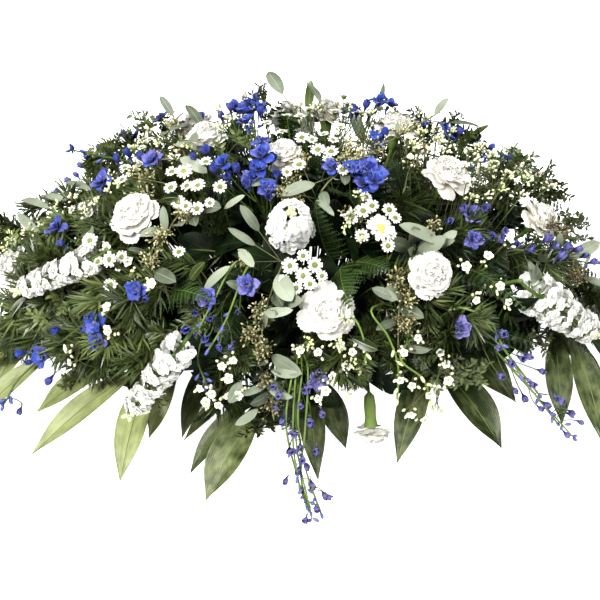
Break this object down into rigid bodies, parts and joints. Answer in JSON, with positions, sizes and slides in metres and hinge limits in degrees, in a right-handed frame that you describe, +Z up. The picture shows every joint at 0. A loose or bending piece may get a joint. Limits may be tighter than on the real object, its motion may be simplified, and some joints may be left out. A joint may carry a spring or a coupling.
{
  "type": "flower arrangement",
  "caption": "Low domed spray of white and blue flowers with ferns, eucalyptus and palm leaves, its stems set in foam in a tray.",
  "frame": {"origin": "middle of the tray's underside, where it rests on the table", "axes": "+X along the long way of the spray, to the right as seen from the front; +Z up; the front faces -Y"},
  "size_m": [1.086, 0.7356, 0.3912],
  "materials": {
    "carnation_petals": "matt, finely ruffled",
    "stock_petals": "matt",
    "delphinium_petals": "velvety, royal blue to light violet",
    "daisy_petals": "matt",
    "wax_flower_petals": "satin",
    "eucalyptus_leaves": "waxy bloom, grey-green",
    "palm_leaves": "satin, ribbed",
    "fern_leaves": "satin, leathery",
    "small_leaves": "satin",
    "tray_plastic": "moulded, dull",
    "wet_foam": "open-celled, damp"
  },
  "bodies": {
    "root": {"carnation_back_left": "carnation_petals", "carnation_back_right": "carnation_petals", "carnation_crest": "carnation_petals", "carnation_crown": "carnation_petals", "carnation_far_left": "carnation_petals", "carnation_far_right": "carnation_petals", "carnation_front": "carnation_petals", "carnation_left": "carnation_petals", "carnation_low_right": "carnation_petals", "carnation_right": "carnation_petals", "carnation_top_left": "carnation_petals", "carnation_top_right": "carnation_petals", "daisies_back": "daisy_petals", "daisies_centre": "daisy_petals", "daisies_left": "daisy_petals", "daisies_right": "daisy_petals", "daisies_top": "daisy_petals", "daisies_upper_left": "daisy_petals", "delphinium_back_left": "delphinium_petals", "delphinium_back_right": "delphinium_petals", "delphinium_centre_low": "delphinium_petals", "delphinium_left": "delphinium_petals", "delphinium_left_low": "delphinium_petals", "delphinium_right": "delphinium_petals", "delphinium_right_trail": "delphinium_petals", "delphinium_top": "delphinium_petals", "delphinium_top_right": "delphinium_petals", "delphinium_trail": "delphinium_petals", "eucalyptus_back": "eucalyptus_leaves", "eucalyptus_far_left": "eucalyptus_leaves", "eucalyptus_far_right": "eucalyptus_leaves", "eucalyptus_left": "eucalyptus_leaves", "eucalyptus_right": "eucalyptus_leaves", "eucalyptus_top": "eucalyptus_leaves", "eucalyptus_trail": "eucalyptus_leaves", "eucalyptus_upper_left": "eucalyptus_leaves", "fern_back": "fern_leaves", "fern_centre": "fern_leaves", "fern_left": "fern_leaves", "fern_right": "fern_leaves", "foam": "wet_foam", "foliage_left": "small_leaves", "foliage_right": "small_leaves", "palm_back_left": "palm_leaves", "palm_back_right": "palm_leaves", "palm_centre": "palm_leaves", "palm_far_right": "palm_leaves", "palm_left": "palm_leaves", "palm_left_centre": "palm_leaves", "palm_right": "palm_leaves", "stock_back": "stock_petals", "stock_centre": "stock_petals", "stock_front_left": "stock_petals", "stock_left": "stock_petals", "stock_right": "stock_petals", "tray": "tray_plastic", "wax_back": "wax_flower_petals", "wax_low_centre": "wax_flower_petals", "wax_low_left": "wax_flower_petals", "wax_low_right": "wax_flower_petals"}
  },
  "joints": []
}
